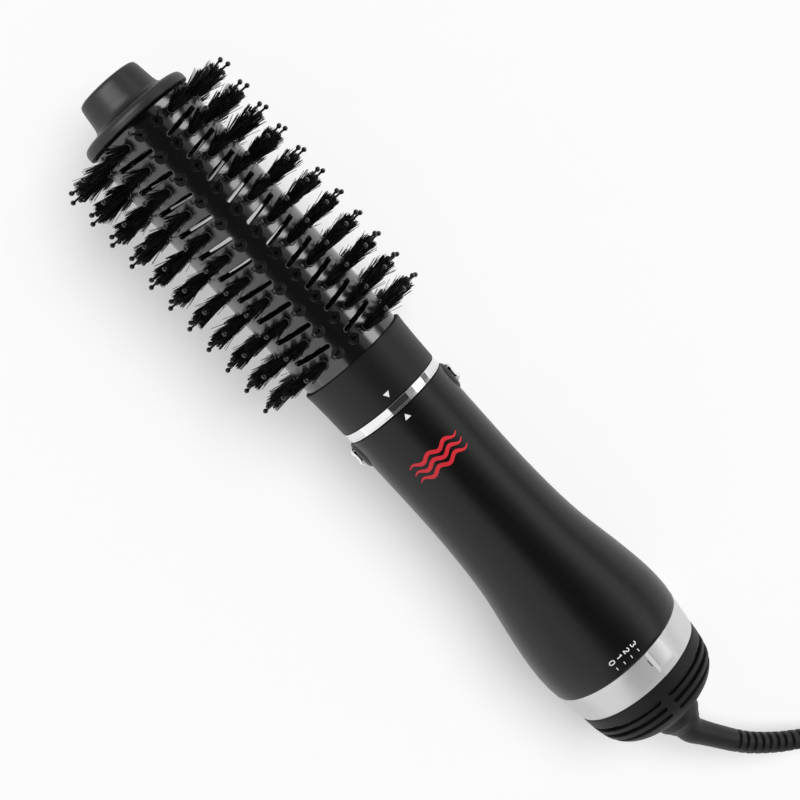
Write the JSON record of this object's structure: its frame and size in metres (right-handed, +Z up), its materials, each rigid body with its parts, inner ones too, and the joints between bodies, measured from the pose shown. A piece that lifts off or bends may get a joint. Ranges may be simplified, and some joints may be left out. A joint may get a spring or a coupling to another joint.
{
  "type": "hot air brush",
  "caption": "Hot air styling brush with a slotted barrel and rows of ball-tipped bristles, latch buttons, a tapered grip, a rotary selector ring, rear intake slots and a swivel cord.",
  "frame": {"origin": "on the surface the brush lies on, midway along and across the brush itself, its boot and cord left out", "axes": "+X along the brush from the tip of the head towards the cord, which dips by about 3 degrees because the bristle head is wider than the grip; +Y towards the left release button; +Z up, out of the side that carries the selector's scale"},
  "size_m": [0.5826, 0.1378, 0.0945],
  "materials": {
    "charcoal_cap": "fine satin grain",
    "barrel_gloss": "glossy coated",
    "bristle": "nylon",
    "black_shell": "fine matte",
    "soft_grip": "soft-touch coating",
    "chrome": "polished",
    "chrome_button": "chrome plated",
    "satin_silver": "satin metallised",
    "inner_plastic": "moulded",
    "mica": "dull",
    "heating_wire": "oxidised",
    "steel": "plain",
    "circuit_board": "solder resist",
    "lead_insulation": "smooth",
    "cord_jacket": "matte PVC",
    "tie_band": "woven strap",
    "plug_plastic": "matte PVC",
    "plug_brass": "plain"
  },
  "bodies": {
    "handle": {"handle_front_shell": "soft_grip", "handle_back_shell": "soft_grip", "air_outlet_tube": "inner_plastic", "button_bezel_left": "black_shell", "button_bezel_right": "black_shell", "heater_former": "mica", "heater_winding": "heating_wire", "thermostat": "steel", "thermal_fuse": "steel", "fan_duct": "inner_plastic", "motor_can": "steel", "control_board": "circuit_board", "switch_block": "inner_plastic", "rear_cap": "black_shell", "intake_screen": "steel", "swivel_bushing": "inner_plastic", "lead_live": "lead_insulation", "lead_neutral": "lead_insulation"},
    "brush_head": {"tip_cap": "charcoal_cap", "barrel": "barrel_gloss", "head_collar": "black_shell", "outlet_guide": "inner_plastic", "chrome_ring": "chrome", "bristle_row_01": "bristle", "bristle_row_02": "bristle", "bristle_row_03": "bristle", "bristle_row_04": "bristle", "bristle_row_05": "bristle", "bristle_row_06": "bristle", "bristle_row_07": "bristle", "bristle_row_08": "bristle", "bristle_row_09": "bristle", "bristle_row_10": "bristle", "bristle_row_11": "bristle"},
    "left_button": {"release_button_left": "chrome_button"},
    "right_button": {"release_button_right": "chrome_button"},
    "rotor": {"motor_shaft": "steel", "fan": "inner_plastic"},
    "selector": {"selector_ring": "satin_silver", "switch_slider": "inner_plastic"},
    "swivel": {"cord_swivel": "black_shell", "swivel_clip": "steel", "strain_relief_boot": "cord_jacket", "power_cord": "cord_jacket", "power_cord_coil": "cord_jacket", "power_cord_tail": "cord_jacket", "cord_tie": "tie_band", "plug_body": "plug_plastic", "plug_blade_wide": "plug_brass", "plug_blade_narrow": "plug_brass"}
  },
  "joints": [
    {"name": "head_release", "type": "slide", "parent": "handle", "child": "brush_head", "axis": [-0.9985, 0, 0.0546], "range_m": [0, 0.045]},
    {"name": "left_button_press", "type": "slide", "parent": "handle", "child": "left_button", "axis": [0, -1, 0], "range_m": [0, 0.002], "stiffness_N_per_m": 800},
    {"name": "right_button_press", "type": "slide", "parent": "handle", "child": "right_button", "axis": [0, 1, 0], "range_m": [0, 0.002], "stiffness_N_per_m": 800},
    {"name": "fan_spin", "type": "hinge", "parent": "handle", "child": "rotor", "pos_m": [0.06761, 0, 0.03799], "axis": [0.9985, 0, -0.0546], "continuous": true},
    {"name": "selector_turn", "type": "hinge", "parent": "handle", "child": "selector", "pos_m": [0.14529, 0, 0.03374], "axis": [0.9985, 0, -0.0546], "range_deg": [0, 20.1]},
    {"name": "cord_swivel_turn", "type": "hinge", "parent": "handle", "child": "swivel", "pos_m": [0.17944, 0, 0.03187], "axis": [0.9985, 0, -0.0546], "continuous": true}
  ]
}
